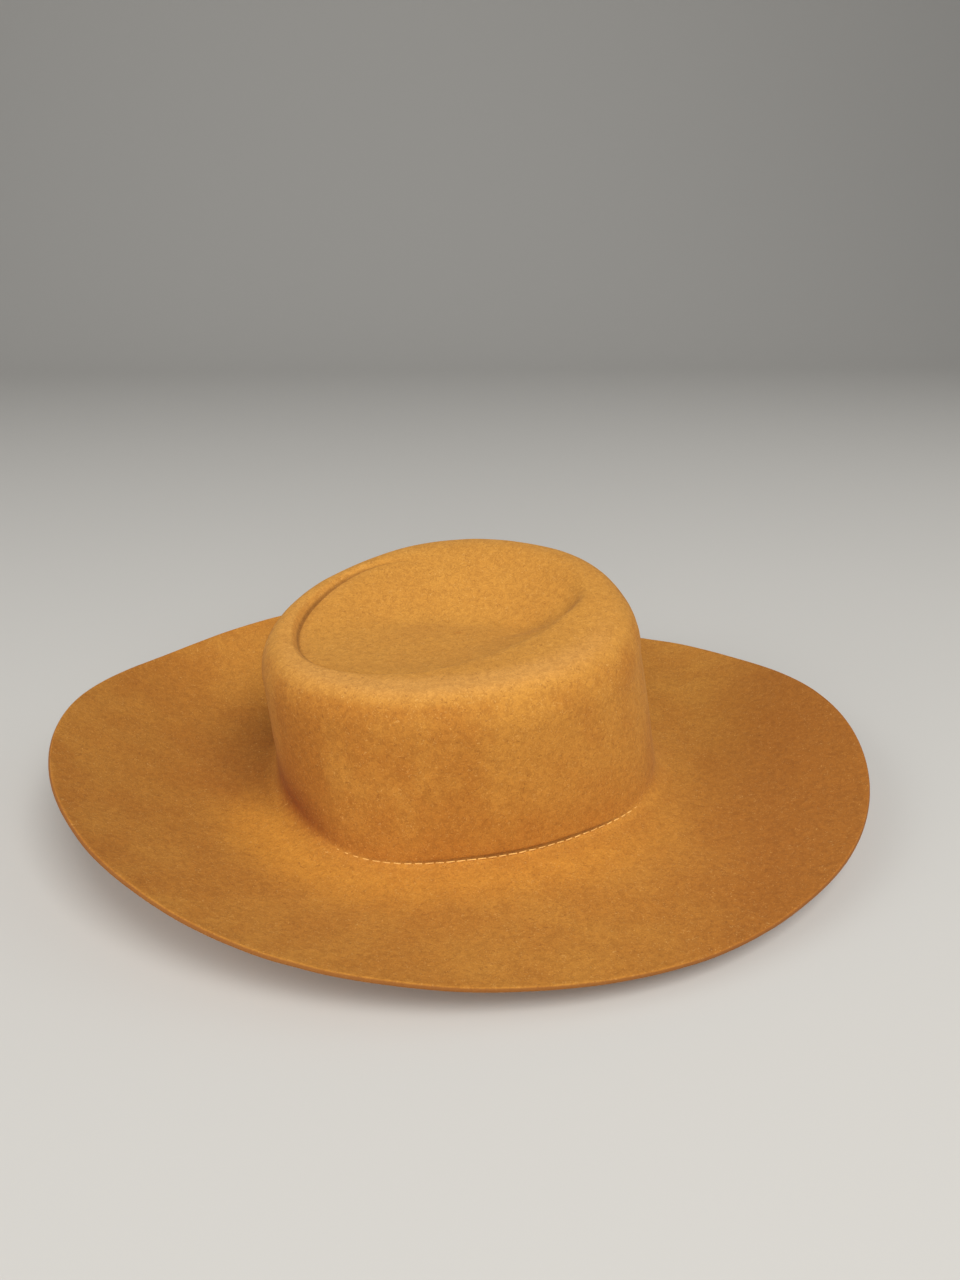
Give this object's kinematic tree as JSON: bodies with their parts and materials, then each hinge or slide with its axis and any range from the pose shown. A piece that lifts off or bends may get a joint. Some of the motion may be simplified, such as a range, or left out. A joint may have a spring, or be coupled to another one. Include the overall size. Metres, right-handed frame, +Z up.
{
  "type": "wide-brim hat",
  "caption": "Wide-brim felt hat with an oval crown, a shallow dent in its sloping top, a softly turned-up brim with a cut edge, and a sweatband inside.",
  "frame": {"origin": "on the table that the hat rests on, under the middle of its outline", "axes": "+X to the front of the hat, +Y to the wearer's left, +Z up"},
  "size_m": [0.4178, 0.3478, 0.1069],
  "materials": {
    "felt": "matt ochre wool felt with a short soft nap",
    "sweatband": "matt ribbed ribbon, a shade darker than the felt",
    "stitching": "matt twisted sewing thread, a shade lighter than the felt"
  },
  "bodies": {
    "root": {"felt_body": "felt", "sweatband": "sweatband"}
  },
  "joints": []
}
